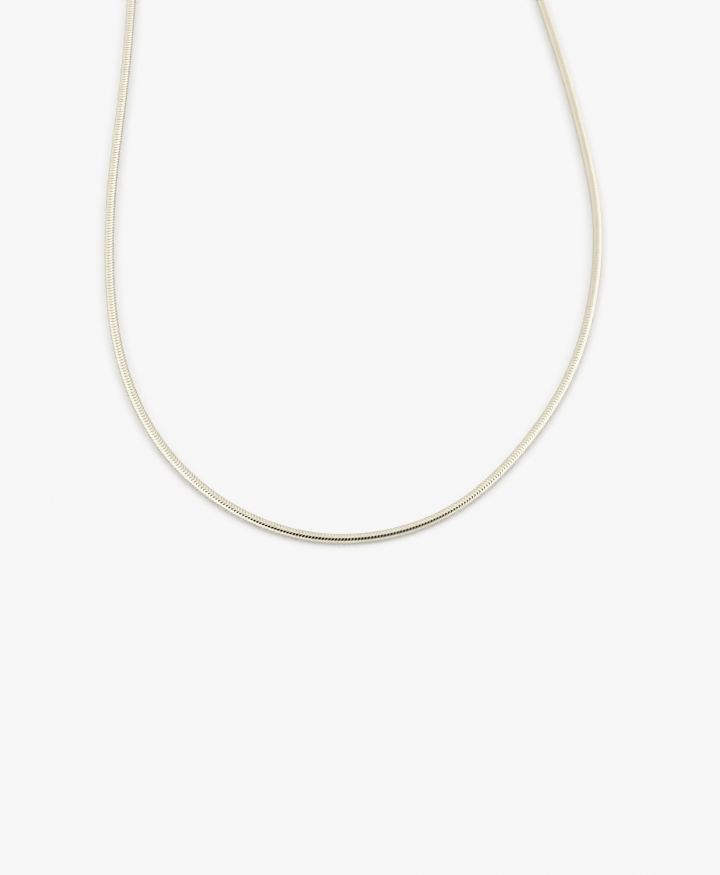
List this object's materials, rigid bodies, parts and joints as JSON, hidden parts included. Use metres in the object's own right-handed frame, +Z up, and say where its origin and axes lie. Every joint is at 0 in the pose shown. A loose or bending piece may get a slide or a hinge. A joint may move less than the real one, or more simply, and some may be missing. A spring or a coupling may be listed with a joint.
{
  "type": "snake chain necklace",
  "caption": "Round silver snake chain necklace, closed with end caps and a plain ring clasp, laid out flat in a long oval loop.",
  "frame": {"origin": "middle of the loop's outline, on the surface that the necklace lies on", "axes": "+Y along the loop from its rounded front to the clasp, +X to the right seen from above, +Z up from the surface"},
  "size_m": [0.0799, 0.1892, 0.0028],
  "materials": {
    "chain_metal": "polished warm silver links with slightly darker seams",
    "fitting_metal": "polished warm silver with fine wear scratches"
  },
  "bodies": {
    "root": {"chain": "chain_metal", "end_cap_left": "fitting_metal", "end_cap_right": "fitting_metal", "clasp": "fitting_metal"}
  },
  "joints": []
}
